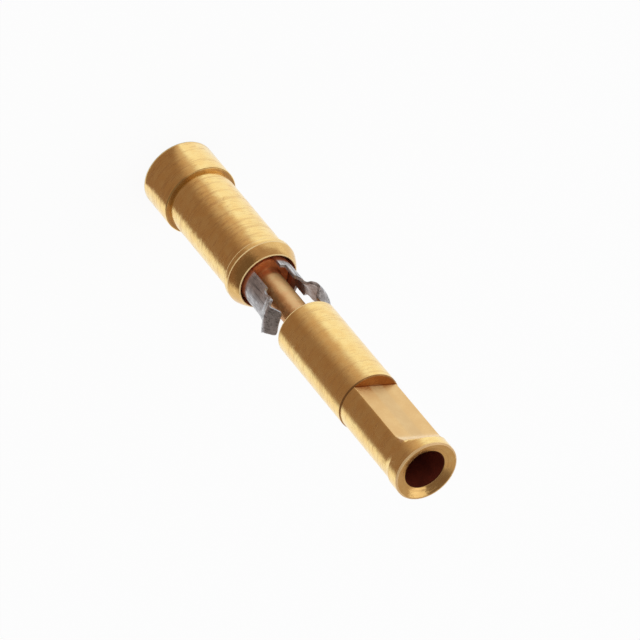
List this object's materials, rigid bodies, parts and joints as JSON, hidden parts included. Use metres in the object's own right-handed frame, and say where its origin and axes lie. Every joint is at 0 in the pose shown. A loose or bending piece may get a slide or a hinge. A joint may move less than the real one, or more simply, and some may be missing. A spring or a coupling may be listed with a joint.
{
  "type": "crimp socket contact",
  "caption": "Turned gold-coloured crimp contact with a flatted wire barrel, a closed-entry hood over its spring socket and a folded steel retention clip.",
  "frame": {"origin": "centre of the mating face, on which the contact stands", "axes": "+Z along the contact's axis towards the wire end; the flat on the crimp barrel faces -Y"},
  "size_m": [0.0032, 0.0032, 0.0201],
  "materials": {
    "gold_plate": "bright turned gold plate with fine circumferential tool marks",
    "spring_steel": "thin stainless spring sheet, lightly brushed"
  },
  "bodies": {
    "root": {"contact_body": "gold_plate", "hood_sleeve": "gold_plate", "retention_clip": "spring_steel"}
  },
  "joints": []
}
